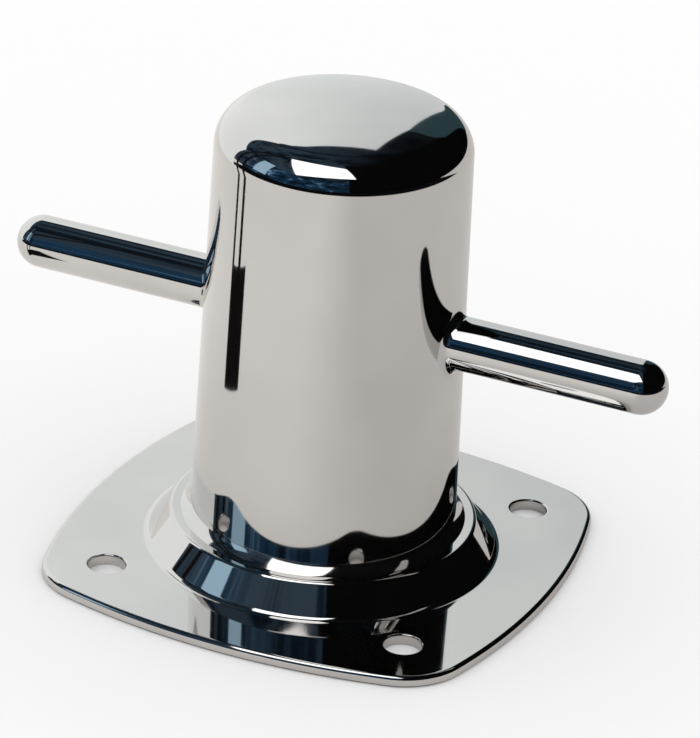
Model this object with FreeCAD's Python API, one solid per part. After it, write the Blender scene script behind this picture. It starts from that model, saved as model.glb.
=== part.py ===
import FreeCAD, Part
import math
import os

# Mooring bollard in polished stainless steel, all sizes in millimetres.
# The origin is the centre of the deck plate's underside, +Z runs up the post and +X along the cross bar.

# Deck plate: a square sheet with bowed sides, pressed up into a round boss
plate_width = 111.0
plate_sheet = 2.5
plate_side_radius = 150.0
plate_corner_radius = 16.5
plate_top_edge_radius = 1.0
plate_bottom_edge_break = 0.4

# Pressed boss: a flat top and a straight conical side, whose faces meet at the corner radius if left sharp
boss_height = 7.0
boss_corner_radius = 34.4
boss_side_angle = 54.0
boss_shoulder_radius = 1.1
boss_inner_radius = 0.6
boss_foot_bend_radius = 1.9

# Deck bolt holes for M8
bolt_spacing = 72.0
bolt_hole_diameter = 8.5
bolt_hole_rim_break = 0.4

# Post: a tube swaged to a light taper above the boss
post_foot_diameter = 60.0
post_seam_diameter = 56.9
post_wall = 3.0
post_foot_clearance = 0.15
post_foot_above_deck = 3.0
seam_height = 91.0

# Pressed end cap
overall_height = 108.6
cap_shoulder_radius = 8.0
cap_crown_radius = 98.0

# V groove that joins the cap to the tube
seam_groove_depth = 2.2
seam_groove_half_width = 1.4

# Cross bar, straight through the post
bar_diameter = 12.0
bar_length = 157.0
bar_height = 58.6
bar_hole_clearance = 0.1

# Weld beads
foot_weld_leg = 2.1
root_weld_leg = 2.4
bar_weld_leg = 2.2
bead_hollow = 0.1

# How near a point counts as lying on a face
near = 0.001

# Worked out from the sizes above
post_foot_radius = post_foot_diameter / 2
post_seam_radius = post_seam_diameter / 2
bar_radius = bar_diameter / 2
boss_top = plate_sheet + boss_height
post_slope = (post_foot_radius - post_seam_radius) / (seam_height - boss_top)
slope_stretch = math.hypot(1, post_slope)
seam_bore_radius = post_seam_radius - post_wall * slope_stretch


def point(radius, height):
    """A point of a profile in the XZ plane."""
    return FreeCAD.Vector(radius, 0, height)


def revolve(edges):
    """Turns a closed profile in the XZ plane about the post's axis."""
    face = Part.Face(Part.Wire(edges))
    return face.revolve(FreeCAD.Vector(0, 0, 0), FreeCAD.Vector(0, 0, 1), 360)


def line(start, end):
    return Part.LineSegment(start, end).toShape()


def arc(start, middle, end):
    return Part.Arc(start, middle, end).toShape()


def polygon(*points):
    """Straight edges round a closed profile."""
    return [line(a, b) for a, b in zip(points, points[1:] + points[:1])]


def on_circle(centre, radius, angle):
    """Point of a profile circle, with the angle in radians from the outward direction."""
    return centre + point(radius * math.cos(angle), radius * math.sin(angle))


def post_radius(height):
    """Outer radius of the post: straight through the boss, then tapering to the cap."""
    return post_foot_radius - post_slope * max(height - boss_top, 0)


def write(name, shape):
    """Saves one solid under the name of its node."""
    solid = shape.Solids[0]
    if len(shape.Solids) != 1 or not solid.isValid() or not solid.isClosed():
        raise ValueError(name + " is not one sound solid")
    solid.exportStep(os.path.join("parts", name + ".step"))
    print(name, round(solid.Volume), "mm3")


def plate_outline():
    """Closed wire of the plate: four bowed sides, with a tangent arc at each corner."""
    half = plate_width / 2
    side_centre = plate_side_radius - half
    reach = plate_side_radius - plate_corner_radius
    # The corner arc's centre lies on the diagonal, inside both side arcs
    corner = (math.sqrt(2 * reach ** 2 - side_centre ** 2) - side_centre) / 2
    swing = math.asin(corner / reach)
    edges = []
    for quarter in range(4):
        turn = math.radians(90 * quarter)
        side = FreeCAD.Vector(-side_centre * math.cos(turn), -side_centre * math.sin(turn), 0)
        next_turn = turn + math.radians(45)
        corner_centre = FreeCAD.Vector(math.cos(next_turn), math.sin(next_turn), 0) * corner * math.sqrt(2)
        edges.append(flat_arc(side, plate_side_radius, turn - swing, turn + swing))
        edges.append(flat_arc(corner_centre, plate_corner_radius, turn + swing, turn + math.pi / 2 - swing))
    return Part.Wire(edges)


def flat_arc(centre, radius, start, end):
    """Arc in the deck plane between two angles in radians."""
    points = [
        centre + FreeCAD.Vector(math.cos(angle), math.sin(angle), 0) * radius
        for angle in (start, (start + end) / 2, end)
    ]
    return arc(*points)


def pressed_boss():
    """Ring of sheet from the post's hole out to the flat flange, of even thickness down its conical side.

    The bends have their centres where they touch both the level face and the side.
    """
    turn = math.radians(boss_side_angle)
    bend_setback = math.tan(turn / 2)
    up = math.pi / 2
    hole_radius = post_foot_radius + post_foot_clearance

    def top_bend(depth):
        return point(boss_corner_radius - depth * bend_setback, boss_top - depth)

    shoulder = top_bend(boss_shoulder_radius)
    inner = top_bend(plate_sheet + boss_inner_radius)
    flange_start = boss_corner_radius + boss_height / math.tan(turn) + boss_foot_bend_radius * bend_setback
    foot = point(flange_start, plate_sheet + boss_foot_bend_radius)
    outer_bend = boss_foot_bend_radius + plate_sheet

    def crown(centre, radius, share):
        return on_circle(centre, radius, up - turn * share)

    def flange(radius, share):
        return on_circle(foot, radius, -up - turn * share)

    hole_top = point(hole_radius, boss_top)
    hole_bottom = point(hole_radius, boss_top - plate_sheet)
    edges = [
        line(hole_bottom, hole_top),
        line(hole_top, crown(shoulder, boss_shoulder_radius, 0)),
        arc(*[crown(shoulder, boss_shoulder_radius, share) for share in (0, 0.5, 1)]),
        line(crown(shoulder, boss_shoulder_radius, 1), flange(boss_foot_bend_radius, 1)),
        arc(*[flange(boss_foot_bend_radius, share) for share in (1, 0.5, 0)]),
        line(flange(boss_foot_bend_radius, 0), flange(outer_bend, 0)),
        arc(*[flange(outer_bend, share) for share in (0, 0.5, 1)]),
        line(flange(outer_bend, 1), crown(inner, boss_inner_radius, 1)),
        arc(*[crown(inner, boss_inner_radius, share) for share in (1, 0.5, 0)]),
        line(crown(inner, boss_inner_radius, 0), hole_bottom),
    ]
    return revolve(edges), flange_start


def base_plate():
    """Sheet deck plate with its pressed boss and four bolt holes, all edges softened."""
    boss, flange_start = pressed_boss()
    flange = Part.Face(plate_outline()).extrude(FreeCAD.Vector(0, 0, plate_sheet))
    flange = flange.makeChamfer(plate_bottom_edge_break, edges_at(flange, 0))
    flange = flange.makeFillet(plate_top_edge_radius, edges_at(flange, plate_sheet))
    flange = flange.cut(Part.makeCylinder(flange_start, plate_sheet))
    plate = flange.fuse(boss).removeSplitter()
    for x in (-bolt_spacing / 2, bolt_spacing / 2):
        for y in (-bolt_spacing / 2, bolt_spacing / 2):
            plate = plate.cut(bolt_hole(x, y))
    return plate


def edges_at(sheet, height):
    """The edges of a sheet that lie level at one height."""
    return [edge for edge in sheet.Edges if all(abs(spot.z - height) < near for spot in edge.discretize(3))]


def bolt_hole(x, y):
    """Cutter for one bolt hole, with its rim broken on top."""
    radius = bolt_hole_diameter / 2
    cutter = revolve(
        polygon(
            point(0, 0),
            point(radius, 0),
            point(radius, plate_sheet - bolt_hole_rim_break),
            point(radius + bolt_hole_rim_break, plate_sheet),
            point(0, plate_sheet),
        )
    )
    cutter.translate(FreeCAD.Vector(x, y, 0))
    return cutter


def post_tube():
    """Tapered tube, prepared for the seam weld at its top and drilled across for the bar."""
    tube = revolve(
        polygon(
            point(post_foot_radius - post_wall, post_foot_above_deck),
            point(post_foot_radius, post_foot_above_deck),
            point(post_foot_radius, boss_top),
            point(post_radius(seam_height - seam_groove_half_width), seam_height - seam_groove_half_width),
            point(post_seam_radius - seam_groove_depth, seam_height),
            point(seam_bore_radius, seam_height),
            point(post_foot_radius - post_wall, boss_top),
        )
    )
    drill = Part.makeCylinder(
        bar_radius + bar_hole_clearance,
        2 * post_foot_diameter,
        FreeCAD.Vector(-post_foot_diameter, 0, bar_height),
        FreeCAD.Vector(1, 0, 0),
    )
    return tube.cut(drill)


def shoulder_centre():
    """Centre of the cap's shoulder arc, tangent to the tapered wall and to the crown's large arc."""
    crown_centre = overall_height - cap_crown_radius
    wall_reach = post_foot_radius + post_slope * boss_top - cap_shoulder_radius * slope_stretch
    reach = cap_crown_radius - cap_shoulder_radius
    half_sum = post_slope * wall_reach + crown_centre
    spread = half_sum ** 2 - slope_stretch ** 2 * (wall_reach ** 2 + crown_centre ** 2 - reach ** 2)
    height = (half_sum + math.sqrt(spread)) / slope_stretch ** 2
    return point(wall_reach - post_slope * height, height)


def top_cap():
    """Pressed end cap: a short skirt, a rounded shoulder and a shallow crown, of even thickness."""
    shoulder = shoulder_centre()
    crown = point(0, overall_height - cap_crown_radius)
    wall_angle = math.atan(post_slope)
    crown_angle = math.atan2(shoulder.z - crown.z, shoulder.x)
    middle_angle = (wall_angle + crown_angle) / 2
    apex_angle = (crown_angle + math.pi / 2) / 2

    def skin(depth):
        """Points of one face of the cap, from its skirt to its apex, at a depth below the outer face."""
        bend = cap_shoulder_radius - depth
        dome = cap_crown_radius - depth
        return [
            on_circle(shoulder, bend, wall_angle),
            on_circle(shoulder, bend, middle_angle),
            on_circle(shoulder, bend, crown_angle),
            on_circle(crown, dome, apex_angle),
            on_circle(crown, dome, math.pi / 2),
        ]

    outer = skin(0)
    inner = skin(post_wall)
    groove_top = seam_height + seam_groove_half_width
    rim_outer = point(post_radius(groove_top), groove_top)
    root = point(post_seam_radius - seam_groove_depth, seam_height)
    rim_inner = point(seam_bore_radius, seam_height)
    edges = [
        line(rim_outer, outer[0]),
        arc(outer[0], outer[1], outer[2]),
        arc(outer[2], outer[3], outer[4]),
        line(outer[4], inner[4]),
        arc(inner[4], inner[3], inner[2]),
        arc(inner[2], inner[1], inner[0]),
        line(inner[0], rim_inner),
        line(rim_inner, root),
        line(root, rim_outer),
    ]
    return revolve(edges)


def cap_seam_weld():
    """Weld that fills the groove between tube and cap, ground flush with the wall."""
    low = seam_height - seam_groove_half_width
    high = seam_height + seam_groove_half_width
    return revolve(
        polygon(
            point(post_seam_radius - seam_groove_depth, seam_height),
            point(post_radius(low), low),
            point(post_radius(high), high),
        )
    )


def cross_bar():
    """Round bar with domed ends, turned from one profile."""
    half = bar_length / 2
    straight = half - bar_radius
    ends = []
    for side in (-1, 1):
        centre = FreeCAD.Vector(side * straight, 0, bar_height)
        tip = FreeCAD.Vector(side * half, 0, bar_height)
        edge = centre + FreeCAD.Vector(0, 0, bar_radius)
        slant = FreeCAD.Vector(side * bar_radius, 0, bar_radius) * math.sqrt(0.5)
        ends.append((tip, centre + slant, edge))
    left, right = ends
    edges = [arc(*left), line(left[2], right[2]), arc(right[2], right[1], right[0]), line(right[0], left[0])]
    face = Part.Face(Part.Wire(edges))
    return face.revolve(FreeCAD.Vector(0, 0, bar_height), FreeCAD.Vector(1, 0, 0), 360)


def foot_weld():
    """Polished bead where the post rises from the boss, ground to a hollow face."""
    wall_height = boss_top + foot_weld_leg
    wall_end = point(post_radius(wall_height), wall_height)
    root = point(post_foot_radius, boss_top)
    seat_end = point(post_foot_radius + foot_weld_leg, boss_top)
    chord_middle = (wall_end + seat_end) * 0.5
    face_middle = chord_middle + (root - chord_middle) * bead_hollow
    return revolve([line(root, wall_end), arc(wall_end, face_middle, seat_end), line(seat_end, root)])


def foot_root_weld():
    """Flat-faced bead under the boss, round the foot of the post."""
    seat = boss_top - plate_sheet
    return revolve(
        polygon(
            point(post_foot_radius, seat),
            point(post_foot_radius + root_weld_leg, seat),
            point(post_foot_radius, seat - root_weld_leg),
        )
    )


def bar_weld(side):
    """Saddle bead where the bar leaves the post, side -1 or 1.

    It is the fillet between bar and post, less the bar and the post themselves.
    """
    post = revolve(
        polygon(
            point(0, boss_top),
            point(post_foot_radius, boss_top),
            point(post_seam_radius, seam_height),
            point(0, seam_height),
        )
    )
    stub = Part.makeCylinder(
        bar_radius,
        post_foot_diameter,
        FreeCAD.Vector(0, 0, bar_height),
        FreeCAD.Vector(side, 0, 0),
    )
    joined = post.fuse(stub)
    saddle = [edge for edge in joined.Edges if is_saddle(edge)]
    return joined.makeFillet(bar_weld_leg, saddle).cut(joined)


def is_saddle(edge):
    """True for an edge that runs along the bar's surface and the post's wall at once."""
    spots = edge.discretize(5)
    on_bar = [math.hypot(spot.y, spot.z - bar_height) - bar_radius for spot in spots]
    on_wall = [math.hypot(spot.x, spot.y) - post_radius(spot.z) for spot in spots]
    return all(abs(off) < near for off in on_bar + on_wall)


def main():
    os.makedirs("parts", exist_ok=True)
    write("base_plate", base_plate())
    write("post_tube", post_tube())
    write("top_cap", top_cap())
    write("cap_seam_weld", cap_seam_weld())
    write("cross_bar", cross_bar())
    write("foot_weld", foot_weld())
    write("foot_root_weld", foot_root_weld())
    write("bar_weld_left", bar_weld(-1))
    write("bar_weld_right", bar_weld(1))


main()
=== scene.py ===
"""Mooring bollard in polished stainless steel, dressed over its packed solids.

Lengths are in metres. The origin is the centre of the deck plate's underside, +Z runs up the post and +X along
the cross bar.
"""
import math

import bpy
import numpy as np
from bpy.props import FloatProperty, FloatVectorProperty, PointerProperty
from mathutils import Matrix, Vector


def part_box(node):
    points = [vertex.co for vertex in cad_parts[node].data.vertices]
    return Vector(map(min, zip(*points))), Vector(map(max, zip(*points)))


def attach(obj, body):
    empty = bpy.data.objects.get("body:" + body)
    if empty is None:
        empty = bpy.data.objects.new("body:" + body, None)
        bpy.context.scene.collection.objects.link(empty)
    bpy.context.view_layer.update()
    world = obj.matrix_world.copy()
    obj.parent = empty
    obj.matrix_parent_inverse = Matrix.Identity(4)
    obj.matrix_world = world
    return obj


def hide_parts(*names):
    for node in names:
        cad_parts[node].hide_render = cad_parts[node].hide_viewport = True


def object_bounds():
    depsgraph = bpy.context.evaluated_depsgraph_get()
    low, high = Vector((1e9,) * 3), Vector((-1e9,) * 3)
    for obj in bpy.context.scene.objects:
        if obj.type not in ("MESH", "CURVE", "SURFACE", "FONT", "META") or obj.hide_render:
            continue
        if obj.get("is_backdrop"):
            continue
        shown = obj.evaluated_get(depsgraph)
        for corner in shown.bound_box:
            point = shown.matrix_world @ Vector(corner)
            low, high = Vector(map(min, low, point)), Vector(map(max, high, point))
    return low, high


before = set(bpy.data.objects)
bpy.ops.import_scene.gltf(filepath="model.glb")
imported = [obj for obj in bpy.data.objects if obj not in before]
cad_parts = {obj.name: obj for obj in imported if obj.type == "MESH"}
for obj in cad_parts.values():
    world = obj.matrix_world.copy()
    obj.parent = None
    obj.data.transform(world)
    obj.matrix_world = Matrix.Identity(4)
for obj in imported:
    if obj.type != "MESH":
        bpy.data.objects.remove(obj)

bl_info = {
    "name": "Mooring bollard",
    "version": (1, 0, 0),
    "blender": (4, 5, 0),
    "location": "View3D > Sidebar > Bollard",
    "description": "Mirror-polished deck bollard: pressed plate, capped post, cross bar and weld beads",
    "category": "Mesh",
}

MM = 0.001

# Mesh density
TURN_COUNT = 384
BAR_COUNT = 144
BEAD_COUNT = 160
ARC_STEP = math.radians(3)
SIDE_CELLS = 80
CORNER_CELLS = 16
GUARD = 0.15 * MM
CREASE = math.radians(32)

# The plate's flange between boss and edge, as shares of its width: rows before, across and after the holes
HOLE_BAND = (0.13, 0.70)
HOLE_ROWS = 16
COLLAR_SHARES = (0.3, 0.6, 0.85, 0.97)

# Upright strips of the lamp stand: start and end as shares of its half width, and the height (0: the foot's)
STAND_STRIPS = ((-1.0, -0.7, 0.3), (-0.1, 0.25, 0.3), (-1.0, 1.0, 0.0))

# The room that the polish sees. A pair is where an ease starts and where it ends, in parts of a direction's length
ROOM_BLACK = (0.0015, 0.0015, 0.0015)
ROOM_NAVY = (0.004, 0.010, 0.018)
FRONT_EASE = (-0.15, 0.25)
LEVEL_EASE = (0.645, 0.394)
LEFT_EASE = (0.32, -0.33)
FRONT_FROM = 0.1
FRONT_SLANT = 0.12
MOTTLE_SCALE = 5.0
MOTTLE_DARK = (0.58, 0.38)
MOTTLE_WINDOW = (0.56, 0.68)

# The floor that the polish sees: metres to the camera's right where painted shade darkens it, and towards the camera
# where it may end
FLOOR_DIM_EASE = (-0.08, 0.08)
FLOOR_END_EASE = (-0.21, -0.20)
FLOOR_RIM = 0.01
FLOOR_PAST = (0.004, 0.004, 0.005)
FLOOR_HALF = 6.0
FLOOR_DEPTH = -0.05 * MM

# Backdrop: metres to the right where painted shade starts to darken it, its strength, and the height of its lower
# edge
SHEET_DRIFT_FROM = -0.4
SHEET_STRENGTH = 1.1
SHEET_FOOT = -0.05
UNEVEN = 0.08

# Columns and rows of the post's windows for the bar
BAR_WINDOW = 15
BAR_WINDOW_HALF = 7.4 * MM


def box_low(node):
    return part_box(node)[0]


def box_high(node):
    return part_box(node)[1]


def length(name, description, default):
    return FloatProperty(
        name=name, description=description, default=default, min=0.0, unit="LENGTH", precision=5
    )


def turn(name, description, degrees):
    return FloatProperty(name=name, description=description, default=math.radians(degrees), subtype="ANGLE")


def share(name, description, default):
    return FloatProperty(
        name=name, description=description, default=default, min=0.0, max=1.0, subtype="FACTOR"
    )


def colour(name, description, default):
    return FloatVectorProperty(
        name=name, description=description, default=default, min=0.0, max=1.0, subtype="COLOR"
    )


class BollardPlate(bpy.types.PropertyGroup):
    """Sizes of the deck plate and its pressed boss."""

    width: length("Width", "Side of the plate over its bowed edges", 2 * box_high("base_plate").x)
    sheet: length("Sheet", "Thickness of the sheet", 2.5 * MM)
    boss_top: length("Boss top", "Height of the boss over the deck", box_high("base_plate").z)
    side_radius: length("Side bow", "Radius of each bowed side", 150 * MM)
    corner_radius: length("Corner radius", "Radius of each rounded corner", 16.5 * MM)
    top_edge: length("Top edge radius", "Rounding of the upper edge", 1.0 * MM)
    bottom_edge: length("Bottom edge break", "Chamfer of the lower edge", 0.4 * MM)
    boss_corner: length("Boss corner", "Radius at which the boss's top and side would meet if left sharp", 34.4 * MM)
    boss_angle: turn("Boss side angle", "Slope of the boss's conical side, from level", 54.0)
    boss_shoulder: length("Boss shoulder", "Radius of the bend from the boss's top to its side", 1.1 * MM)
    boss_inner: length("Boss inner corner", "Radius of the corner under the shoulder", 0.6 * MM)
    boss_foot: length("Boss foot", "Radius of the bend from the boss's side to the flange", 1.9 * MM)
    post_hole: length("Post hole radius", "Radius of the hole for the post", 30.15 * MM)
    hole_spacing: length("Hole spacing", "Distance between bolt holes along a side", 72 * MM)
    hole_radius: length("Hole radius", "Radius of a bolt hole", 4.25 * MM)
    rim_break: length("Rim break", "Width of the softened rim of a bolt hole", 0.4 * MM)


class BollardPost(bpy.types.PropertyGroup):
    """Sizes of the post, its cap and the seam between them."""

    foot_radius: length("Foot radius", "Outer radius of the tube at the boss", box_high("post_tube").x)
    seam_radius: length("Seam radius", "Outer radius of the tube at the seam", 28.45 * MM)
    wall: length("Wall", "Wall of the tube and of the cap", 3.0 * MM)
    foot: length("Foot height", "Height of the tube's lower end", box_low("post_tube").z)
    seam: length("Seam height", "Height of the cap's seam", box_high("post_tube").z)
    top: length("Overall height", "Height of the crown over the deck", box_high("top_cap").z)
    shoulder: length("Shoulder radius", "Radius of the cap's shoulder", 8.0 * MM)
    crown: length("Crown radius", "Radius of the cap's shallow crown", 98.0 * MM)
    groove_depth: length("Groove depth", "Depth of the weld groove", 2.2 * MM)


class BollardBar(bpy.types.PropertyGroup):
    """Sizes of the cross bar."""

    radius: length("Radius", "Radius of the bar", box_high("cross_bar").y)
    half_length: length("Half length", "Distance from the post's axis to a tip", box_high("cross_bar").x)
    height: length("Height", "Height of the bar's axis over the deck", 58.6 * MM)
    bore: length("Bore radius", "Radius of the bar's hole in the tube", 6.1 * MM)


class BollardWelds(bpy.types.PropertyGroup):
    """Sizes of the weld beads."""

    foot_leg: length("Foot bead leg", "Leg of the bead between post and boss", 2.1 * MM)
    root_leg: length("Root bead leg", "Leg of the bead under the boss", 2.4 * MM)
    bar_leg: length("Bar bead radius", "Radius of the hollow bead round the bar", 2.2 * MM)
    hollow: share("Hollow", "How far the foot bead's face is ground in", 0.1)


class BollardFinish(bpy.types.PropertyGroup):
    """Colours and polish of the steel."""

    steel: colour("Steel", "Mirror-polished stainless steel", (0.66, 0.65, 0.635))
    steel_shade: colour("Steel shade", "The faint darker drift across the polish", (0.60, 0.595, 0.59))
    weld: colour("Polished weld", "Weld metal, ground and polished", (0.62, 0.61, 0.60))
    mill: colour("Mill finish", "Unpolished sheet and bore", (0.42, 0.42, 0.41))
    brushed: colour("Brushed weld", "Wire-brushed root bead", (0.40, 0.38, 0.35))


class BollardStudio(bpy.types.PropertyGroup):
    """Camera, floor and lights."""

    azimuth: turn("Azimuth", "Turn of the camera round the post, from the front towards +X", 22.835)
    elevation: turn("Elevation", "Height of the camera over the deck, as an angle", 26.163)
    roll: turn("Roll", "Turn of the camera about its own line of sight", 3.469)
    distance: length("Distance", "From the camera to the middle of the post", 960 * MM)
    focal: FloatProperty(
        name="Focal length", description="Lens, in millimetres on a 36 mm sensor", default=211.74, min=1.0
    )
    aim_height: length("Aim height", "Height on the post's axis that the view turns about", 54 * MM)
    move_right: FloatProperty(
        name="Move right", description="Shift of the camera to its right", default=4.17 * MM, unit="LENGTH"
    )
    move_up: FloatProperty(
        name="Move up", description="Shift of the camera upwards", default=-8.19 * MM, unit="LENGTH"
    )
    floor: colour("Floor", "Pale studio floor", (0.99, 0.99, 0.99))


def spot(name, description, default):
    return FloatVectorProperty(
        name=name, description=description, default=default, size=3, subtype="XYZ", unit="LENGTH", precision=4
    )


class BollardLights(bpy.types.PropertyGroup):
    """What the polish mirrors, matched to the photo's reflections. Places are right of, towards the camera and up."""

    softbox_0: spot("Softbox near left", "Corner of the softbox", (-0.132, 0.020, 0.35))
    softbox_1: spot("Softbox near right", "Corner of the softbox", (0.009, 0.096, 0.33))
    softbox_2: spot("Softbox far right", "Corner of the softbox", (0.076, 0.317, 0.36))
    softbox_3: spot("Softbox far left", "Corner of the softbox", (-0.295, 0.320, 0.35))
    softbox: FloatProperty(name="Softbox strength", description="Brightness of the softbox", default=2.0, min=0.0)
    sheet_left: length("Sheet to the left", "How far to the left the backdrop stands", 0.442)
    sheet_back: length("Sheet to the back", "How far behind the bollard the backdrop stands", 1.293)
    sheet_front: length("Sheet's front end", "How far behind the bollard its left side ends", 0.117)
    sheet_right: length("Sheet's right end", "How far to the right it ends", 0.237)
    sheet_bend: length("Sheet's bend", "Radius of the bend between its back and its left side", 0.15)
    sheet_top: length("Sheet's top", "Height of the backdrop", 1.465)
    sheet_front_top: length("Sheet's front top", "Height of the backdrop at its front end", 0.334)
    sheet_clip: length("Clipped corner", "Width of the slant at its upper right corner", 0.072)
    sheet_clip_drop: length("Clipped corner's drop", "Height of that slant", 0.515)
    sheet_pale: colour("Sheet's pale end", "Colour of the backdrop on the left", (0.98, 1.0, 0.99))
    # Painted shade: the backdrop's colour on the right is darker, standing in for less light there
    sheet_dim: colour("Sheet's dim end", "Colour of the backdrop on the right", (0.70, 0.73, 0.73))
    wall: colour("Side wall", "Slate wall beside the backdrop", (0.030, 0.060, 0.070))
    wall_width: length("Wall's width", "Width of the slate wall", 0.353)
    wall_low: length("Wall's foot", "Height at which the slate wall starts", 0.05)
    wall_high: length("Wall's top", "Height at which the slate wall ends", 0.96)
    card: colour("Side card", "Pale card to the left", (0.42, 0.62, 0.78))
    card_from: turn("Card from", "Where the side card starts, from the camera to its right", -82.0)
    card_to: turn("Card to", "Where the side card ends, from the camera to its right", -68.0)
    card_distance: length("Card's distance", "From the post's axis to the side card", 0.927)
    card_low: length("Card's foot", "Height of the side card's lower edge", 0.17)
    card_high: length("Card's top", "Height of the side card's upper edge", 0.74)
    stand: colour("Stand", "Dark lamp stand to the left", (0.007, 0.006, 0.006))
    stand_place: spot("Stand's place", "Foot of the lamp stand", (-0.1225, 0.0104, 0.0))
    stand_turn: turn("Stand's turn", "Way the stand faces, from the camera to its right", -95.6)
    stand_half_width: length("Stand's half width", "Half the width over the stand's tubes", 0.0172)
    stand_foot: length("Stand's foot", "Height of the stand's foot", 0.033)
    floor_pale: colour("Floor in polish, left", "The floor as the polish mirrors it", (0.92, 0.89, 0.855))
    # Painted shade: the floor as the polish mirrors it is coloured darker on the right
    floor_dim: colour("Floor in polish, right", "The floor as the polish mirrors it", (0.68, 0.655, 0.635))
    floor_reach: length("Floor's reach", "How far in front of the bollard the pale floor ends", 0.5)
    window: colour("Window", "Daylight that breaks into the room on the left", (0.28, 0.50, 0.72))
    ceiling: colour("Ceiling", "Upper part of the room", (0.034, 0.056, 0.080))
    room: colour("Room", "Blue room on the left, towards the camera", (0.014, 0.050, 0.105))


def arc(centre, radius, start, end):
    """Profile arc: the centre plus the radius times (cos a, sin a), with a running evenly from start to end."""
    steps = max(math.ceil(abs(end - start) / ARC_STEP), 1)
    angles = np.linspace(start, end, steps + 1)
    return np.asarray(centre) + radius * np.stack([np.cos(angles), np.sin(angles)], axis=1)


def run(start, end):
    """Straight stretch of a profile, with a guard point near each end that holds the shading off the middle."""
    start, end = np.asarray(start, float), np.asarray(end, float)
    reach = np.linalg.norm(end - start)
    if reach < 4 * GUARD:
        return np.stack([start, end])
    near = (end - start) * GUARD / reach
    return np.stack([start, start + near, end - near, end])


def join(*parts):
    """One profile from several, less each point that repeats the one before it."""
    points = np.concatenate(parts)
    step = np.linalg.norm(np.diff(points, axis=0), axis=1)
    return points[np.concatenate([[True], step > 1e-8])]


def turned(profile, count=TURN_COUNT):
    """Rings of a turned surface: at angle a a profile point (r, z) is at (r cos a, r sin a, z)."""
    angles = 2 * np.pi * np.arange(count) / count
    radius, height = profile[:, :1], profile[:, 1:]
    return np.stack(
        [radius * np.cos(angles), radius * np.sin(angles), np.broadcast_to(height, (len(profile), count))],
        axis=2,
    )


def cells(numbers):
    """Quads between rows of point numbers, each row closed on itself: (rows - 1, columns, 4)."""
    here, below = numbers[:-1], numbers[1:]
    return np.stack([here, below, np.roll(below, -1, axis=1), np.roll(here, -1, axis=1)], axis=2)


def numbered(rings, first=0):
    return first + np.arange(rings.shape[0] * rings.shape[1]).reshape(rings.shape[:2])


def ring_solid(rings):
    """Points and faces of rings that close on themselves, the last ring joined to the first."""
    numbers = numbered(rings)
    return rings.reshape(-1, 3), [cells(np.vstack([numbers, numbers[:1]])).reshape(-1, 4)]


def capped_solid(rings, first_pole, last_pole):
    """Points and faces of rings that end in a pole at either end."""
    numbers = numbered(rings)
    count = numbers.size
    top, last = numbers[0], numbers[-1]
    first_fan = np.stack([np.full_like(top, count), top, np.roll(top, -1)], axis=1)
    last_fan = np.stack([last, np.full_like(last, count + 1), np.roll(last, -1)], axis=1)
    points = np.concatenate([rings.reshape(-1, 3), [first_pole, last_pole]])
    return points, [cells(numbers).reshape(-1, 4), first_fan, last_fan]


def window_loop(rows, columns, total):
    """Row and column numbers of the grid points round a window, from its first row and column."""
    (first, last), (left, right) = rows, columns
    step = 1 if last > first else -1
    across, down = np.arange(left, right), np.arange(first, last, step)
    row = [np.full(len(across), first), down, np.full(len(across), last), down[::-1] + step]
    column = [across, np.full(len(down), right), across[::-1] + 1, np.full(len(down), left)]
    return np.concatenate(row), np.concatenate(column) % total


def rim_angles(border, centre):
    """Angles spread evenly round a hole, in step with the corners of its window in a flat chart."""
    first, quarter = border[0] - centre, border[len(border) // 4] - centre
    sense = np.sign(first[0] * quarter[1] - first[1] * quarter[0])
    start = math.atan2(first[1], first[0])
    return start + sense * 2 * np.pi * np.arange(len(border)) / len(border)


def between(border, rim, seat):
    """Rings that run from a window's border to the rim of its hole, each point put on the surface by seat."""
    return np.stack([seat(border + (rim - border) * part) for part in COLLAR_SHARES])


def drilled_solid(rings, windows):
    """Points and faces of a ring solid with a bore through each window.

    A window is (outer rows, inner rows, columns, collar). Its cells are left out of both skins, and the rings of
    collar(outer border, inner border) join one border to the other through the bore.
    """
    numbers = numbered(rings)
    grid = cells(np.vstack([numbers, numbers[:1]]))
    keep = np.ones(grid.shape[:2], bool)
    points, collars = [rings.reshape(-1, 3)], []
    count = numbers.size
    for outer, inner, columns, collar in windows:
        loops = [window_loop(rows, columns, rings.shape[1]) for rows in (outer, inner)]
        middle = collar(*[rings[loop] for loop in loops])
        table = np.vstack([numbers[loops[0]], numbered(middle, count), numbers[loops[1]]])
        collars.append(cells(table).reshape(-1, 4))
        points.append(middle.reshape(-1, 3))
        count += middle.shape[0] * middle.shape[1]
        for rows in (outer, inner):
            gone = np.arange(*columns) % rings.shape[1]
            keep[min(rows):max(rows), gone] = False
    return np.concatenate(points), [grid[keep], *collars]


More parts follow.
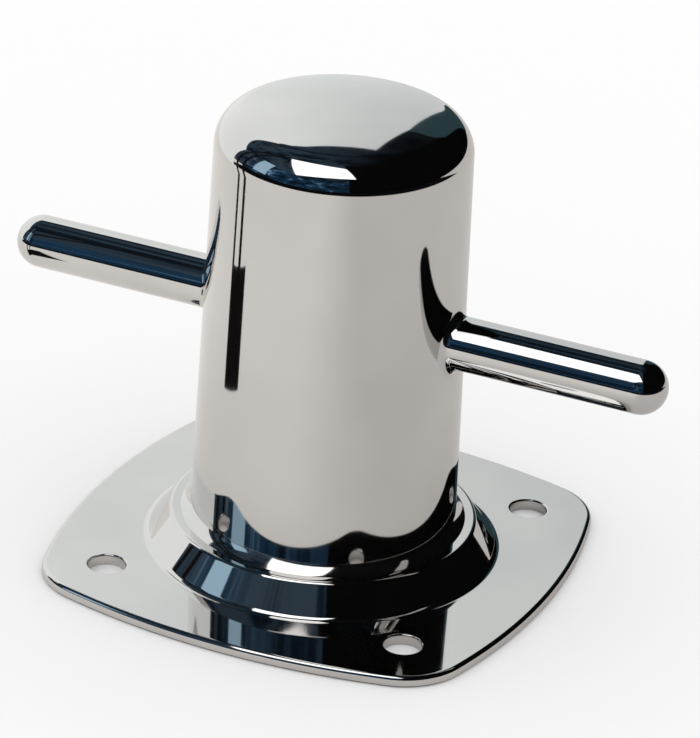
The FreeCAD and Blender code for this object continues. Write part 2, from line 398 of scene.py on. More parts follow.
def make_piece(name, shape, materials, nodes, inside=None):
    """Makes a smooth piece from points and faces, seats it on the frame and gives it its finish.

    inside, if given, says from the faces' normals and places which of them have the second material.
    """
    points, faces = shape
    mesh = bpy.data.meshes.new(name)
    sizes = np.concatenate([np.full(len(part), part.shape[1]) for part in faces])
    corners = np.concatenate([part.ravel() for part in faces])
    mesh.vertices.add(len(points))
    mesh.vertices.foreach_set("co", np.ascontiguousarray(points, np.float32).ravel())
    mesh.loops.add(len(corners))
    mesh.loops.foreach_set("vertex_index", corners.astype(np.int32))
    mesh.polygons.add(len(sizes))
    mesh.polygons.foreach_set("loop_start", (np.cumsum(sizes) - sizes).astype(np.int32))
    mesh.update(calc_edges=True)
    mesh.shade_smooth()
    mesh.set_sharp_from_angle(angle=CREASE)
    for material in materials:
        mesh.materials.append(material)
    if inside is not None:
        normals, centres = np.zeros(len(sizes) * 3), np.zeros(len(sizes) * 3)
        mesh.polygons.foreach_get("normal", normals)
        mesh.polygons.foreach_get("center", centres)
        chosen = inside(normals.reshape(-1, 3), centres.reshape(-1, 3))
        mesh.polygons.foreach_set("material_index", chosen.astype(np.int32))
    piece = bpy.data.objects.new(name, mesh)
    bpy.context.scene.collection.objects.link(piece)
    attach(piece, "root")
    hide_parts(*nodes)
    return piece


def looks_down(normals, centres):
    """Faces of the underside."""
    return normals[:, 2] < -0.1


def looks_inward(normals, centres):
    """Faces that look down or towards the post's axis."""
    outward = centres[:, :2] / np.linalg.norm(centres[:, :2], axis=1, keepdims=True)
    return (normals[:, 2] < -0.1) | ((normals[:, :2] * outward).sum(axis=1) < -0.1)


def plate_outline(plate):
    """Points of the plate's outline and its outward normals.

    The outline is given by its normal's angle t: a point is the centre of its arc plus the arc's radius times
    (cos t, sin t). Within the swing of an axis the arc is a bowed side's, and elsewhere it is a corner's.
    """
    half = plate.width / 2
    side_centre = plate.side_radius - half
    reach = plate.side_radius - plate.corner_radius
    corner = (math.sqrt(2 * reach**2 - side_centre**2) - side_centre) / 2
    swing = math.asin(corner / reach)
    side_t = np.linspace(-swing, swing, SIDE_CELLS, endpoint=False)
    corner_t = np.linspace(swing, math.pi / 2 - swing, CORNER_CELLS, endpoint=False)
    t = np.concatenate([side_t, corner_t])
    on_side = (t < swing)[:, None]
    centre = np.where(on_side, [-side_centre, 0.0], [corner, corner])
    radius = np.where(on_side, plate.side_radius, plate.corner_radius)
    normal = np.stack([np.cos(t), np.sin(t)], axis=1)
    quarter = centre + radius * normal
    turns = [quarter_turn(count) for count in range(4)]
    points = np.concatenate([quarter @ turn_by for turn_by in turns])
    normals = np.concatenate([normal @ turn_by for turn_by in turns])
    return points, normals


def quarter_turn(count):
    """Matrix that turns row vectors by so many quarter turns, anticlockwise."""
    a = math.pi / 2 * count
    return np.array([[math.cos(a), math.sin(a)], [-math.sin(a), math.cos(a)]])


def boss_profile(plate):
    """Upper and lower faces of the boss, both from the post's hole out to the flat flange.

    The side is a cone at the boss's angle. A bend's centre is one radius off the level face and off the side, so
    it stands back from their corner by the radius times the tangent of half the angle. The lower face is the
    upper one a sheet deeper.
    """
    lean = plate.boss_angle
    setback = math.tan(lean / 2)
    up = math.pi / 2
    rise = plate.boss_top - plate.sheet
    flange_start = plate.boss_corner + rise / math.tan(lean) + plate.boss_foot * setback
    foot = (flange_start, plate.sheet + plate.boss_foot)

    def face(depth, bend, foot_bend):
        deep = depth + bend
        crown = arc((plate.boss_corner - deep * setback, plate.boss_top - deep), bend, up, up - lean)
        curl = arc(foot, foot_bend, -up - lean, -up)
        return join(run((plate.post_hole, plate.boss_top - depth), crown[0]), crown, run(crown[-1], curl[0]), curl)

    upper = face(0.0, plate.boss_shoulder, plate.boss_foot)
    lower = face(plate.sheet, plate.boss_inner, plate.boss_foot + plate.sheet)
    return upper, lower


def plate_rings(plate):
    """Rings of the plate, from its hole out over the top, round the edge and back underneath.

    On the boss a ring is a circle. On the flange it lies a share of the way from the boss's foot to the outline,
    and round the edge it is the outline moved inwards along its normals. Returns the rings with the first and
    last rows of the holes' band on top and underneath.
    """
    points, normals = plate_outline(plate)
    ray = points / np.linalg.norm(points, axis=1, keepdims=True)
    upper, lower = boss_profile(plate)
    start = upper[-1, 0]
    band = np.linspace(*HOLE_BAND, HOLE_ROWS + 1)
    guard = GUARD / (plate.width / 2 - start)
    shares = np.concatenate([[guard], band, [1 - guard]])

    def level(flat, height):
        return np.column_stack([flat, np.full(len(flat), height)])

    def flange(outer, height, parts):
        return [level(ray * start * (1 - part) + outer * part, height) for part in parts]

    top_line = points - normals * plate.top_edge
    bottom_line = points - normals * plate.bottom_edge
    bends = np.linspace(math.pi / 2, 0, 11)
    boss_top = [level(ray * radius, height) for radius, height in upper]
    boss_under = [level(ray * radius, height) for radius, height in lower[::-1]]
    top = flange(top_line, plate.sheet, shares)
    under = flange(bottom_line, 0.0, shares[::-1])
    edge = [
        level(points - normals * plate.top_edge * (1 - math.cos(a)), plate.sheet - plate.top_edge * (1 - math.sin(a)))
        for a in bends
    ]
    side = [level(points, plate.bottom_edge + GUARD), level(points, plate.bottom_edge), level(bottom_line, 0.0)]
    rings = np.stack([*boss_top, *top, *edge, *side, *under, *boss_under])
    top_row = len(boss_top) + 1
    under_row = len(boss_top) + len(top) + len(edge) + len(side) + 1
    return rings, (top_row, top_row + HOLE_ROWS), (under_row + HOLE_ROWS, under_row)


def base_plate(plate, materials):
    """Deck plate with its pressed boss; each bolt hole is a bore through a window of the flange."""
    rings, top_rows, under_rows = plate_rings(plate)
    per_quarter = SIDE_CELLS + CORNER_CELLS

    def bore(quarter):
        centre = np.array([0.5, 0.5]) * plate.hole_spacing @ quarter_turn(quarter)

        def collar(outer, inner):
            """The rim is the centre plus (cos a, sin a) times a radius that eases in over the rim break."""
            angles = rim_angles(outer[:, :2], centre)
            round_line = np.stack([np.cos(angles), np.sin(angles)], axis=1)

            def circle(radius, height):
                return np.column_stack([centre + round_line * radius, np.full(len(angles), height)])

            eases = np.linspace(0, math.pi / 2, 6)
            rim = [
                circle(
                    plate.hole_radius + plate.rim_break * (1 - math.sin(a)),
                    plate.sheet - plate.rim_break * (1 - math.cos(a)),
                )
                for a in eases
            ]
            wall = [circle(plate.hole_radius, 2 * GUARD), circle(plate.hole_radius, 0.0)]
            top = between(outer, rim[0], lambda spots: spots)
            under = between(inner, wall[-1], lambda spots: spots)[::-1]
            return np.concatenate([top, rim, wall, under])

        first = quarter * per_quarter + SIDE_CELLS
        return top_rows, under_rows, (first, first + CORNER_CELLS), collar

    shape = drilled_solid(rings, [bore(quarter) for quarter in range(4)])
    return make_piece("deck_plate", shape, materials, ["base_plate"], looks_down)


def taper(post, plate):
    """How much the post's radius shrinks per unit of height above the boss."""
    return (post.foot_radius - post.seam_radius) / (post.seam - plate.boss_top)


def wall_radius(post, plate, height, depth=0.0):
    """Radius of the post's wall at a height, so deep below its outer face."""
    slope = taper(post, plate)
    drop = slope * np.maximum(np.asarray(height) - plate.boss_top, 0)
    return post.foot_radius - drop - depth * np.where(np.asarray(height) > plate.boss_top, math.hypot(1, slope), 1)


def post_tube(post, plate, bar, materials):
    """Post: a tapered tube with a groove for the seam weld and a bore for the bar on either side.

    The grid is turned about the post's axis. Round a bore it follows lines from a window's border to the hole's
    rim, drawn in the chart (y, z) and seated on a wall by x = the root of the wall's radius squared less y squared.
    """
    half_groove = box_high("cap_seam_weld").z - post.seam
    low, foot = post.seam - half_groove, post.foot
    band = np.linspace(bar.height + BAR_WINDOW_HALF, bar.height - BAR_WINDOW_HALF, 2 * BAR_WINDOW + 1)

    def radius(height, depth=0.0):
        return wall_radius(post, plate, height, depth)

    def wall(heights, depth):
        return np.column_stack([radius(heights, depth), heights])

    outer_heights = np.concatenate([[low, low - GUARD], band, [plate.boss_top + GUARD, plate.boss_top]])
    inner_heights = np.concatenate([[plate.boss_top], band[::-1], [post.seam]])
    outer = np.vstack([wall(outer_heights, 0.0), [post.foot_radius, foot + GUARD], [post.foot_radius, foot]])
    bore_foot = post.foot_radius - post.wall
    inner = np.vstack([[bore_foot, foot], wall(inner_heights, post.wall)])
    inner[1, 0] = bore_foot
    groove = np.array([[post.seam_radius - post.groove_depth, post.seam]])
    rings = turned(np.vstack([outer, inner, groove]))
    outer_rows = (2, 2 + 2 * BAR_WINDOW)
    inner_first = len(outer) + 2
    inner_rows = (inner_first + 2 * BAR_WINDOW, inner_first)

    def bore(side):
        centre = np.array([0.0, bar.height])

        def collar(outer_border, inner_border):
            chart = outer_border[:, 1:] * [side, 1]
            angles = rim_angles(chart, centre)
            rim = centre + bar.bore * np.stack([np.cos(angles), np.sin(angles)], axis=1)

            def seat(depth):
                def on_wall(spots):
                    across = np.sqrt(radius(spots[:, 1], depth) ** 2 - spots[:, 0] ** 2)
                    return np.column_stack([side * across, side * spots[:, 0], spots[:, 1]])

                return on_wall

            outside, inside = seat(0.0), seat(post.wall)
            through = np.stack([outside(rim), inside(rim)])
            skin = between(chart, rim, outside)
            lining = between(inner_border[:, 1:] * [side, 1], rim, inside)[::-1]
            return np.concatenate([skin, through, lining])

        middle = 0 if side > 0 else TURN_COUNT // 2
        return outer_rows, inner_rows, (middle - BAR_WINDOW, middle + BAR_WINDOW), collar

    shape = drilled_solid(rings, [bore(1), bore(-1)])
    return make_piece("post", shape, materials, ["post_tube"], looks_inward)


def shoulder_centre(post, plate):
    """Centre of the cap's shoulder arc, tangent to the tapered wall and, from inside, to the crown's arc."""
    slope = taper(post, plate)
    stretch = math.hypot(1, slope)
    crown_centre = post.top - post.crown
    wall_reach = post.foot_radius + slope * plate.boss_top - post.shoulder * stretch
    reach = post.crown - post.shoulder
    half_sum = slope * wall_reach + crown_centre
    spread = half_sum**2 - stretch**2 * (wall_reach**2 + crown_centre**2 - reach**2)
    height = (half_sum + math.sqrt(spread)) / stretch**2
    return wall_reach - slope * height, height


def top_cap(post, plate, materials):
    """End cap: the profile runs from the outer pole over crown, shoulder and skirt, and back inside."""
    centre = shoulder_centre(post, plate)
    crown = (0.0, post.top - post.crown)
    wall_angle = math.atan(taper(post, plate))
    crown_angle = math.atan2(centre[1] - crown[1], centre[0])
    half_groove = box_high("cap_seam_weld").z - post.seam
    groove_top = post.seam + half_groove

    def skin(depth):
        crown_steps = np.linspace(math.pi / 2, crown_angle, 26)
        dome = np.asarray(crown) + (post.crown - depth) * np.stack([np.cos(crown_steps), np.sin(crown_steps)], 1)
        return join(dome, arc(centre, post.shoulder - depth, crown_angle, wall_angle))

    outer, inner = skin(0.0), skin(post.wall)[::-1]
    rim = (float(wall_radius(post, plate, groove_top)), groove_top)
    root = (post.seam_radius - post.groove_depth, post.seam)
    lip = (float(wall_radius(post, plate, post.seam, post.wall)), post.seam)
    profile = join(outer, run(outer[-1], rim), [root], [lip], inner)
    rings = turned(profile[1:-1])
    poles = [(0, 0, profile[0, 1]), (0, 0, profile[-1, 1])]
    return make_piece(
        "end_cap", capped_solid(rings, *poles), materials, ["top_cap"], looks_inward
    )


def cap_seam_weld(post, plate, materials):
    """Seam weld: a turned triangle in the groove between tube and cap, its face flush with the wall."""
    half_groove = box_high("cap_seam_weld").z - post.seam
    low, high = post.seam - half_groove, post.seam + half_groove
    face = [(float(wall_radius(post, plate, height)), height) for height in (high, low)]
    profile = join(run(*face), [(post.seam_radius - post.groove_depth, post.seam)])
    return make_piece("cap_seam", ring_solid(turned(profile)), materials, ["cap_seam_weld"])


def cross_bar(bar, materials):
    """Cross bar: a profile with a quarter arc at either tip, turned about the bar's own axis."""
    straight = bar.half_length - bar.radius
    up = math.pi / 2
    profile = join(
        arc((straight, 0.0), bar.radius, 0.0, up),
        run((straight, bar.radius), (-straight, bar.radius)),
        arc((-straight, 0.0), bar.radius, up, 2 * up),
    )
    rings = turned(profile[1:-1, ::-1], BAR_COUNT)
    rings = np.stack([rings[..., 2], rings[..., 0], rings[..., 1] + bar.height], axis=2)
    poles = [(bar.half_length, 0, bar.height), (-bar.half_length, 0, bar.height)]
    return make_piece("bar", capped_solid(rings, *poles), materials, ["cross_bar"])


def foot_weld(post, plate, welds, materials):
    """Foot bead: a turned corner between post and boss whose face is an arc ground in towards the corner."""
    leg = welds.foot_leg
    top = plate.boss_top + leg
    corner = np.array([post.foot_radius, plate.boss_top])
    ends = np.array([[float(wall_radius(post, plate, top)), top], [post.foot_radius + leg, plate.boss_top]])
    chord = ends[1] - ends[0]
    middle = ends.mean(axis=0)
    depth = np.linalg.norm(corner - middle) * welds.hollow
    half = np.linalg.norm(chord) / 2
    radius = (half**2 + depth**2) / (2 * depth)
    out = (middle - corner) / np.linalg.norm(middle - corner)
    centre = middle + out * (radius - depth)
    start, end = [math.atan2(*(spot - centre)[::-1]) % (2 * math.pi) for spot in ends]
    profile = join(arc(centre, radius, start, end), [corner])
    return make_piece("foot_bead", ring_solid(turned(profile)), materials, ["foot_weld"])


def foot_root_weld(post, plate, welds, materials):
    """Root bead: a turned triangle in the corner between the tube and the boss's underside."""
    seat = plate.boss_top - plate.sheet
    leg = welds.root_leg
    profile = join(
        run((post.foot_radius, seat), (post.foot_radius + leg, seat)),
        run((post.foot_radius + leg, seat), (post.foot_radius, seat - leg)),
    )
    return make_piece("root_bead", ring_solid(turned(profile)), materials, ["foot_root_weld"])


def bar_weld(side, post, plate, bar, welds, materials):
    """Saddle bead round the bar: what a ball would leave that rolls round the corner of bar and post.

    At angle a round the bar the ball's centre is one bead radius off both surfaces. The bead's face is the arc
    about that centre from its touch on the post to its touch on the bar. Its back runs along the bar to the
    corner, and from there over the wall of the post.
    """
    ball = welds.bar_leg
    slope = taper(post, plate)
    stretch = math.hypot(1, slope)
    angles = 2 * np.pi * np.arange(BEAD_COUNT) / BEAD_COUNT
    ring = np.stack([np.zeros_like(angles), np.cos(angles), np.sin(angles)], axis=1)
    axis = np.array([0.0, 0.0, bar.height])

    def on_post(spots, lift=0.0):
        radius = wall_radius(post, plate, spots[:, 2]) + lift * stretch
        across = np.sqrt(radius**2 - spots[:, 1] ** 2)
        return np.column_stack([across, spots[:, 1], spots[:, 2]])

    centre = on_post(axis + ring * (bar.radius + ball), ball)
    flat = centre[:, :2] / np.linalg.norm(centre[:, :2], axis=1, keepdims=True)
    to_post = -np.column_stack([flat / stretch, np.full(len(flat), slope / stretch)])
    to_bar = -ring
    opening = np.arccos(np.clip((to_post * to_bar).sum(axis=1), -1, 1))[:, None]
    face = []
    for part in np.linspace(0, 1, 17):
        blend = np.sin((1 - part) * opening) * to_post + np.sin(part * opening) * to_bar
        face.append(centre + ball * blend / np.sin(opening))
    corner = on_post(axis + ring * bar.radius)
    rings = np.stack([corner, *face[::-1]])
    rings[..., :2] *= side
    name, node = ("right_bead", "bar_weld_right") if side > 0 else ("left_bead", "bar_weld_left")
    return make_piece(name, ring_solid(rings), materials, [node])


def add(tree, kind, inputs, **settings):
    """Adds a node. An input is a value, or the socket that feeds it."""
    node = tree.nodes.new(kind)
    for key, value in settings.items():
        setattr(node, key, value)
    for key, value in inputs.items():
        if isinstance(value, bpy.types.NodeSocket):
            tree.links.new(value, node.inputs[key])
        else:
            node.inputs[key].default_value = value
    return node


def new_material(name):
    """Empty node material with its output and the piece's own coordinates."""
    material = bpy.data.materials.new(name)
    material.use_nodes = True
    tree = material.node_tree
    tree.nodes.clear()
    output = tree.nodes.new("ShaderNodeOutputMaterial")
    place = tree.nodes.new("ShaderNodeTexCoord").outputs["Object"]
    return material, tree, output, place


def noise(tree, place, scale, detail=2.0, roughness=0.5):
    made = add(
        tree, "ShaderNodeTexNoise", {"Vector": place, "Scale": scale, "Detail": detail, "Roughness": roughness}
    )
    return made.outputs["Fac"]


def stretched(tree, place, scale):
    return add(tree, "ShaderNodeMapping", {"Vector": place, "Scale": scale}).outputs["Vector"]


def ramp(tree, factor, low, high, low_at=0.35, high_at=0.65):
    """Colours that drift from low to high with the factor."""
    node = add(tree, "ShaderNodeValToRGB", {"Fac": factor})
    first, last = node.color_ramp.elements
    first.position, last.position = low_at, high_at
    first.color, last.color = (*low, 1.0), (*high, 1.0)
    return node.outputs["Color"]


def spread(tree, factor, low, high):
    node = add(tree, "ShaderNodeMapRange", {"Value": factor, "To Min": low, "To Max": high})
    return node.outputs["Result"]


def bump(tree, height, distance, under=None):
    inputs = {"Height": height, "Distance": distance, "Strength": 1.0}
    if under is not None:
        inputs["Normal"] = under
    return add(tree, "ShaderNodeBump", inputs).outputs["Normal"]


def mirror_steel(name, light, shade, smooth, rough, wave):
    """Polished steel: a faint drift of tone, wiped haze, hand-polishing waves and hairlines."""
    material, tree, output, place = new_material(name)
    drift = noise(tree, place, 28.0, 2.0)
    haze = noise(tree, stretched(tree, place, (1.0, 1.0, 0.35)), 140.0, 4.0, 0.6)
    waves = noise(tree, place, 38.0, 0.0)
    hairs = noise(tree, stretched(tree, place, (1.0, 1.0, 14.0)), 900.0, 2.0)
    waved = bump(tree, waves, wave)
    shader = add(
        tree,
        "ShaderNodeBsdfPrincipled",
        {
            "Base Color": ramp(tree, drift, shade, light),
            "Roughness": spread(tree, haze, smooth, rough),
            "Metallic": 1.0,
            "Normal": bump(tree, hairs, 0.00004 * MM, waved),
        },
    )
    tree.links.new(shader.outputs[0], output.inputs["Surface"])
    return material


def mill_steel(name, base, rough):
    """Unpolished steel: mottled grey with rolling lines and pickled blotches."""
    material, tree, output, place = new_material(name)
    blotches = noise(tree, place, 90.0, 5.0, 0.6)
    lines = noise(tree, stretched(tree, place, (1.0, 12.0, 1.0)), 500.0, 3.0)
    dark = tuple(0.75 * part for part in base)
    shader = add(
        tree,
        "ShaderNodeBsdfPrincipled",
        {
            "Base Color": ramp(tree, blotches, dark, base),
            "Roughness": spread(tree, blotches, rough - 0.08, rough + 0.08),
            "Metallic": 1.0,
            "Normal": bump(tree, lines, 0.002 * MM),
        },
    )
    tree.links.new(shader.outputs[0], output.inputs["Surface"])
    return material


def once(name, make, *values):
    """The material of that name, made on first use. The names differ from those that the CAD model brings."""
    return bpy.data.materials.get(name) or make(name, *values)


def steel_pair(finish):
    polished = once("polish", mirror_steel, finish.steel, finish.steel_shade, 0.02, 0.07, 0.02 * MM)
    return [polished, once("mill", mill_steel, finish.mill, 0.42)]


def weld_polish(finish):
    return [once("weld_polish", mirror_steel, finish.weld, finish.steel_shade, 0.03, 0.10, 0.03 * MM)]


def weld_brush(finish):
    return [once("weld_brush", mill_steel, finish.brushed, 0.38)]


class AddDeckPlate(bpy.types.Operator):
    """Add the deck plate with its pressed boss and four bolt holes"""

    bl_idname = "bollard.add_deck_plate"
    bl_label = "Deck plate"

    def execute(self, context):
        scene = context.scene
        base_plate(scene.bollard_plate, steel_pair(scene.bollard_finish))
        return {"FINISHED"}


class AddPost(bpy.types.Operator):
    """Add the tapered post, bored for the cross bar"""

    bl_idname = "bollard.add_post"
    bl_label = "Post"

    def execute(self, context):
        scene = context.scene
        post_tube(scene.bollard_post, scene.bollard_plate, scene.bollard_bar, steel_pair(scene.bollard_finish))
        return {"FINISHED"}


class AddCap(bpy.types.Operator):
    """Add the end cap with its rounded shoulder and shallow crown"""

    bl_idname = "bollard.add_cap"
    bl_label = "End cap"

    def execute(self, context):
        scene = context.scene
        top_cap(scene.bollard_post, scene.bollard_plate, steel_pair(scene.bollard_finish))
        return {"FINISHED"}


class AddBar(bpy.types.Operator):
    """Add the cross bar with its domed ends"""

    bl_idname = "bollard.add_bar"
    bl_label = "Cross bar"

    def execute(self, context):
        scene = context.scene
        cross_bar(scene.bollard_bar, steel_pair(scene.bollard_finish)[:1])
        return {"FINISHED"}


class AddRingWelds(bpy.types.Operator):
    """Add the beads that run round the post: cap seam, foot and root"""

    bl_idname = "bollard.add_ring_welds"
    bl_label = "Seam, foot and root beads"

    def execute(self, context):
        scene = context.scene
        post, plate, welds = scene.bollard_post, scene.bollard_plate, scene.bollard_welds
        polish = weld_polish(scene.bollard_finish)
        cap_seam_weld(post, plate, steel_pair(scene.bollard_finish)[:1])
        foot_weld(post, plate, welds, polish)
        foot_root_weld(post, plate, welds, weld_brush(scene.bollard_finish))
        return {"FINISHED"}


class AddBarWelds(bpy.types.Operator):
    """Add the saddle beads where the bar leaves the post"""

    bl_idname = "bollard.add_bar_welds"
    bl_label = "Bar beads"

    def execute(self, context):
        scene = context.scene
        for side in (-1, 1):
            bar_weld(
                side,
                scene.bollard_post,
                scene.bollard_plate,
                scene.bollard_bar,
                scene.bollard_welds,
                weld_polish(scene.bollard_finish),
            )
        return {"FINISHED"}


def add_camera(studio):
    """Camera on a line through the post's middle, moved across that line and rolled about it."""
    az, el, roll = studio.azimuth, studio.elevation, studio.roll
    back = Vector((math.sin(az) * math.cos(el), -math.cos(az) * math.cos(el), math.sin(el)))
    right = Vector((math.cos(az), math.sin(az), 0.0))
    up = back.cross(right)
    place = Vector((0, 0, studio.aim_height)) + back * studio.distance
    place += right * studio.move_right + up * studio.move_up
    across = right * math.cos(roll) + up * math.sin(roll)
    upright = up * math.cos(roll) - right * math.sin(roll)
    data = bpy.data.cameras.new("camera")
    data.lens, data.sensor_width = studio.focal, 36.0
    data.clip_start, data.clip_end = 0.01, 100.0
    camera = bpy.data.objects.new("camera", data)
    camera.matrix_world = Matrix.Translation(place) @ Matrix((across, upright, back)).transposed().to_4x4()
    bpy.context.scene.collection.objects.link(camera)
    bpy.context.scene.camera = camera


def aligned(studio, spots):
    """Places given as (to the camera's right, towards the camera, up), turned into the scene's axes."""
    c, s = math.cos(studio.azimuth), math.sin(studio.azimuth)
    return np.asarray(spots, float) @ np.array([[c, s, 0.0], [s, -c, 0.0], [0.0, 0.0, 1.0]])


def along(tree, place, axis):
    """How far a place or a direction reaches along an axis."""
    return add(tree, "ShaderNodeVectorMath", {0: place, 1: tuple(axis)}, operation="DOT_PRODUCT").outputs["Value"]


def math_node(tree, operation, *values):
    return add(tree, "ShaderNodeMath", dict(enumerate(values)), operation=operation).outputs[0]


def step(tree, value, start, stop):
    """0 before start and 1 past stop, eased between."""
    inputs = {"Value": value, "From Min": start, "From Max": stop}
    return add(tree, "ShaderNodeMapRange", inputs, interpolation_type="SMOOTHSTEP").outputs["Result"]


def blend(tree, factor, low, high):
    """Colour between low and high, each a colour or a socket."""
    node = tree.nodes.new("ShaderNodeMix")
    node.data_type = "RGBA"
    kinds = {"Factor": ("VALUE", factor), "A": ("RGBA", low), "B": ("RGBA", high)}
    for name, (kind, value) in kinds.items():
        socket = next(s for s in node.inputs if s.name == name and s.type == kind)
        if isinstance(value, bpy.types.NodeSocket):
            tree.links.new(value, socket)
        else:
            socket.default_value = (*value, 1.0)
    return next(s for s in node.outputs if s.type == "RGBA")


def light_path(tree, ray):
    return tree.nodes.new("ShaderNodeLightPath").outputs[ray]


def glow(name, studio, low, high, start=-1.0, stop=1.0, strength=1.0):
    """Emission whose colour changes from low to high along the camera's right, with a little unevenness; on the
    backdrop that change is painted shade, darker towards the right.
    """
    material, tree, output, place = new_material(name)
    across = along(tree, place, aligned(studio, (1.0, 0.0, 0.0)))
    uneven = spread(tree, noise(tree, place, 6.0), -UNEVEN, UNEVEN)
    factor = math_node(tree, "ADD", step(tree, across, start, stop), uneven)
    light = add(tree, "ShaderNodeEmission", {"Color": blend(tree, factor, low, high), "Strength": strength})
    tree.links.new(light.outputs[0], output.inputs["Surface"])
    return material


def add_card(name, points, faces, material):
    """Stage card that only the polish sees."""
    mesh = bpy.data.meshes.new(name)
    mesh.from_pydata([tuple(point) for point in points], [], faces)
    mesh.materials.append(material)
    card = bpy.data.objects.new(name, mesh)
    bpy.context.scene.collection.objects.link(card)
    card.visible_camera = card.visible_diffuse = card.visible_shadow = False
    card.visible_transmission = card.visible_volume_scatter = False
    card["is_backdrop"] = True


def flat_card(name, studio, corners, material):
    add_card(name, aligned(studio, corners), [tuple(range(len(corners)))], material)


def upright(ends, low, high):
    """Corners of an upright rectangle over the line between two places."""
    first, last = ends
    return [(*first, low), (*last, low), (*last, high), (*first, high)]


def add_sheet(studio, lights):
    """Backdrop: an upright sheet along a line that runs back on the left, bends and goes on to the right."""
    left, back, bend = -lights.sheet_left, -lights.sheet_back, lights.sheet_bend
    curve = arc((left + bend, back + bend), bend, math.pi, 1.5 * math.pi)
    line = np.vstack([[left, -lights.sheet_front], curve, [lights.sheet_right - lights.sheet_clip, back]])
    line = np.vstack([line, [lights.sheet_right, back]])
    tops = np.full(len(line), lights.sheet_top)
    tops[0] = lights.sheet_front_top
    tops[-1] -= lights.sheet_clip_drop
    low = np.column_stack([line, np.full(len(line), SHEET_FOOT)])
    high = np.column_stack([line, tops])
    count = len(line)
    faces = [(i, i + 1, count + i + 1, count + i) for i in range(count - 1)]
    # Painted shade: the backdrop glows darker from here towards its right end
    ease = (SHEET_DRIFT_FROM, lights.sheet_right)
    material = glow("backdrop", studio, lights.sheet_pale, lights.sheet_dim, *ease, SHEET_STRENGTH)
    add_card("backdrop", aligned(studio, np.vstack([low, high])), faces, material)


def add_cards(studio, lights):
    """Softbox, slate wall, side card and lamp stand."""
    white = (1.0, 1.0, 1.0)
    corners = [lights.softbox_0, lights.softbox_1, lights.softbox_2, lights.softbox_3]
    flat_card("softbox", studio, corners, glow("softbox", studio, white, white, strength=lights.softbox))
    add_sheet(studio, lights)
    back = -lights.sheet_back
    near, far = lights.sheet_right, lights.sheet_right + lights.wall_width
    corners = upright([(near, back), (far, back)], lights.wall_low, lights.wall_high)
    flat_card("side_wall", studio, corners, glow("side_wall", studio, lights.wall, lights.wall))
    first, last, far = lights.card_from, lights.card_to, lights.card_distance
    ends = [(far * math.sin(a), far * math.cos(a)) for a in (first, last)]
    corners = upright(ends, lights.card_low, lights.card_high)
    flat_card("side_card", studio, corners, glow("side_card", studio, lights.card, lights.card))
    dark = glow("stand", studio, lights.stand, lights.stand)
    place, way, wide = lights.stand_place, lights.stand_turn, lights.stand_half_width
    out = np.array([math.cos(way), -math.sin(way)])
    for number, (start, stop, top) in enumerate(STAND_STRIPS):
        foot = [np.array(place[:2]) + out * wide * part for part in (start, stop)]
        corners = upright(foot, place[2], place[2] + (top or lights.stand_foot))
        flat_card(f"stand_{number}", studio, corners, dark)


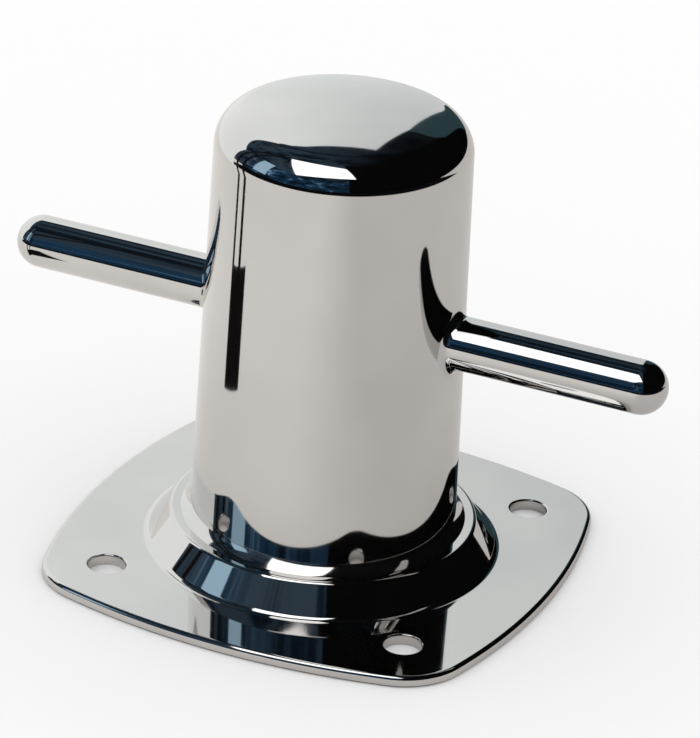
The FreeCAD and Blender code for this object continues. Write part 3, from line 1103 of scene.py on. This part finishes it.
def add_floor(studio, lights):
    """Pale floor just under the deck plate; the polish sees it with painted shade, darker to the right, and sees it
    end in front.
    """
    half, depth = FLOOR_HALF, FLOOR_DEPTH
    mesh = bpy.data.meshes.new("floor")
    corners = [(-half, -half, depth), (half, -half, depth), (half, half, depth), (-half, half, depth)]
    mesh.from_pydata(corners, [], [(0, 1, 2, 3)])
    floor = bpy.data.objects.new("floor", mesh)
    bpy.context.scene.collection.objects.link(floor)
    material, tree, output, place = new_material("floor")
    across = along(tree, place, aligned(studio, (1.0, 0.0, 0.0)))
    ahead = along(tree, place, aligned(studio, (0.0, 1.0, 0.0)))
    reach = add(tree, "ShaderNodeVectorMath", {0: place}, operation="LENGTH").outputs["Value"]
    # Painted shade: the mirrored floor darkens towards the camera's right
    mirrored = blend(tree, step(tree, across, *FLOOR_DIM_EASE), lights.floor_pale, lights.floor_dim)
    far = step(tree, reach, lights.floor_reach, lights.floor_reach + FLOOR_RIM)
    past = math_node(tree, "MULTIPLY", far, step(tree, ahead, *FLOOR_END_EASE))
    mirrored = blend(tree, past, mirrored, FLOOR_PAST)
    shade = blend(tree, light_path(tree, "Is Glossy Ray"), tuple(studio.floor), mirrored)
    shader = add(tree, "ShaderNodeBsdfDiffuse", {"Color": shade})
    tree.links.new(shader.outputs[0], output.inputs["Surface"])
    mesh.materials.append(material)
    floor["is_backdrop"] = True


def add_world(studio, lights):
    """Soft even light, white to the camera; the polish sees a dim room, blue on the left and black on the right."""
    world = bpy.data.worlds.new("studio")
    bpy.context.scene.world = world
    world.use_nodes = True
    tree = world.node_tree
    tree.nodes.clear()
    output = tree.nodes.new("ShaderNodeOutputWorld")
    way = tree.nodes.new("ShaderNodeTexCoord").outputs["Generated"]
    right = along(tree, way, aligned(studio, (1.0, 0.0, 0.0)))
    front = along(tree, way, aligned(studio, (0.0, 1.0, 0.0)))
    up = along(tree, way, (0.0, 0.0, 1.0))
    ahead = math_node(tree, "MULTIPLY", step(tree, front, *FRONT_EASE), step(tree, up, *LEVEL_EASE))
    mottle = noise(tree, way, MOTTLE_SCALE, 4.0, 0.65)
    tone = blend(tree, ahead, lights.ceiling, lights.room)
    tone = blend(tree, step(tree, mottle, *MOTTLE_DARK), tone, ROOM_NAVY)
    daylight = math_node(tree, "MULTIPLY", ahead, step(tree, mottle, *MOTTLE_WINDOW))
    tone = blend(tree, daylight, tone, lights.window)
    slant = math_node(tree, "SUBTRACT", right, math_node(tree, "MULTIPLY", front, FRONT_SLANT))
    edge = math_node(tree, "LESS_THAN", slant, 0.0)
    lit = math_node(tree, "GREATER_THAN", front, FRONT_FROM)
    rest = math_node(tree, "MULTIPLY", step(tree, right, *LEFT_EASE), math_node(tree, "SUBTRACT", 1.0, lit))
    mask = math_node(tree, "ADD", math_node(tree, "MULTIPLY", edge, lit), rest)
    tone = blend(tree, mask, ROOM_BLACK, tone)
    shade = blend(tree, light_path(tree, "Is Glossy Ray"), (1.0, 1.0, 1.0), tone)
    light = add(tree, "ShaderNodeBackground", {"Color": shade, "Strength": 1.0})
    tree.links.new(light.outputs[0], output.inputs["Surface"])


class AddStudio(bpy.types.Operator):
    """Add the camera, the pale floor and the soft studio light"""

    bl_idname = "bollard.add_studio"
    bl_label = "Studio"

    def execute(self, context):
        studio = context.scene.bollard_studio
        context.scene.view_settings.view_transform = "Standard"
        add_camera(studio)
        lights = context.scene.bollard_lights
        add_floor(studio, lights)
        add_cards(studio, lights)
        add_world(studio, lights)
        return {"FINISHED"}


GROUPS = {
    "bollard_plate": BollardPlate,
    "bollard_post": BollardPost,
    "bollard_bar": BollardBar,
    "bollard_welds": BollardWelds,
    "bollard_finish": BollardFinish,
    "bollard_studio": BollardStudio,
    "bollard_lights": BollardLights,
}
OPERATORS = (AddStudio, AddDeckPlate, AddPost, AddCap, AddBar, AddRingWelds, AddBarWelds)


class BollardPanel(bpy.types.Panel):
    """Sizes, colours and pieces of the bollard"""

    bl_idname = "VIEW3D_PT_bollard"
    bl_label = "Mooring bollard"
    bl_space_type = "VIEW_3D"
    bl_region_type = "UI"
    bl_category = "Bollard"

    def draw(self, context):
        for name, group in GROUPS.items():
            settings = getattr(context.scene, name)
            box = self.layout.box()
            box.label(text=group.__doc__)
            for prop in group.__annotations__:
                box.prop(settings, prop)
        for operator in OPERATORS:
            self.layout.operator(operator.bl_idname)


def register():
    for group in GROUPS.values():
        bpy.utils.register_class(group)
    for name, group in GROUPS.items():
        setattr(bpy.types.Scene, name, PointerProperty(type=group))
    for cls in (*OPERATORS, BollardPanel):
        bpy.utils.register_class(cls)


def unregister():
    for cls in (BollardPanel, *OPERATORS):
        bpy.utils.unregister_class(cls)
    for name, group in GROUPS.items():
        delattr(bpy.types.Scene, name)
        bpy.utils.unregister_class(group)


def corners():
    return [list(corner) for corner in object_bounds()]


def main():
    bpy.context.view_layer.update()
    register()
    bpy.ops.bollard.add_studio()
    bpy.ops.bollard.add_deck_plate()
    bpy.ops.bollard.add_post()
    bpy.ops.bollard.add_cap()
    bpy.ops.bollard.add_bar()
    bpy.ops.bollard.add_ring_welds()
    bpy.ops.bollard.add_bar_welds()
    bpy.context.view_layer.update()


if __name__ == "__main__":
    main()
